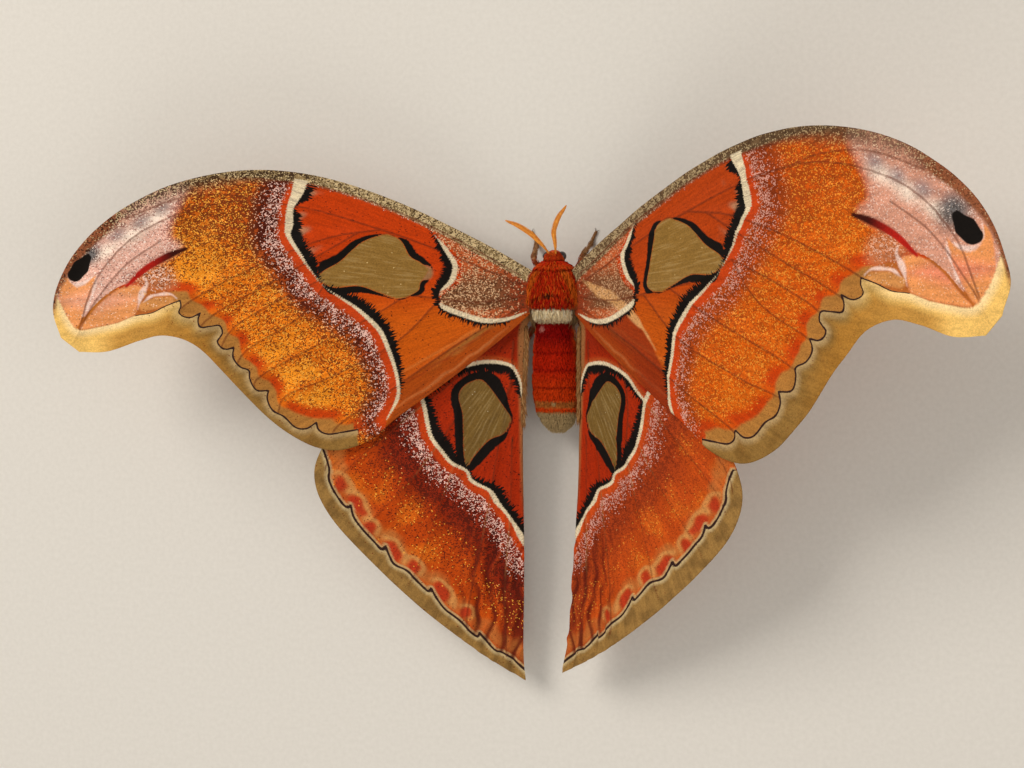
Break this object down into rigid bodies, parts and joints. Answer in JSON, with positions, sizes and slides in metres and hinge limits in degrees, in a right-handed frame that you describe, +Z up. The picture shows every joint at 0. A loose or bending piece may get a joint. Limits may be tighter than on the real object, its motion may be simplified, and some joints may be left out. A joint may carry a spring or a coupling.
{
  "type": "atlas moth",
  "caption": "Still life-size giant silk moth (Attacus lemairei, female) standing with its wings spread in a shallow V.",
  "frame": {"origin": "middle of the box's floor, at the level that the feet stand on", "axes": "+X to the moth's right wing, +Y to its head, +Z up"},
  "size_m": [0.2218, 0.128, 0.059],
  "materials": {
    "head_fur": "short dark red fur",
    "thorax_fur": "long orange-red hair with a white fringe behind",
    "abdomen_fur": "short red fur",
    "wing_scales": "matt scales in orange-red, maroon, cream, pink and khaki bands",
    "antenna_comb": "orange combs",
    "leg_fur": "tan to dark red fur",
    "eye_lens": "dark brown with a low gloss"
  },
  "bodies": {
    "root": {"head": "head_fur", "thorax": "thorax_fur", "abdomen": "abdomen_fur", "eye_left": "eye_lens", "eye_right": "eye_lens", "antenna_left": "antenna_comb", "antenna_right": "antenna_comb", "forewing_left": "wing_scales", "forewing_right": "wing_scales", "hindwing_left": "wing_scales", "hindwing_right": "wing_scales", "foreleg_left": "leg_fur", "foreleg_right": "leg_fur", "midleg_left": "leg_fur", "midleg_right": "leg_fur", "hindleg_left": "leg_fur", "hindleg_right": "leg_fur"}
  },
  "joints": []
}
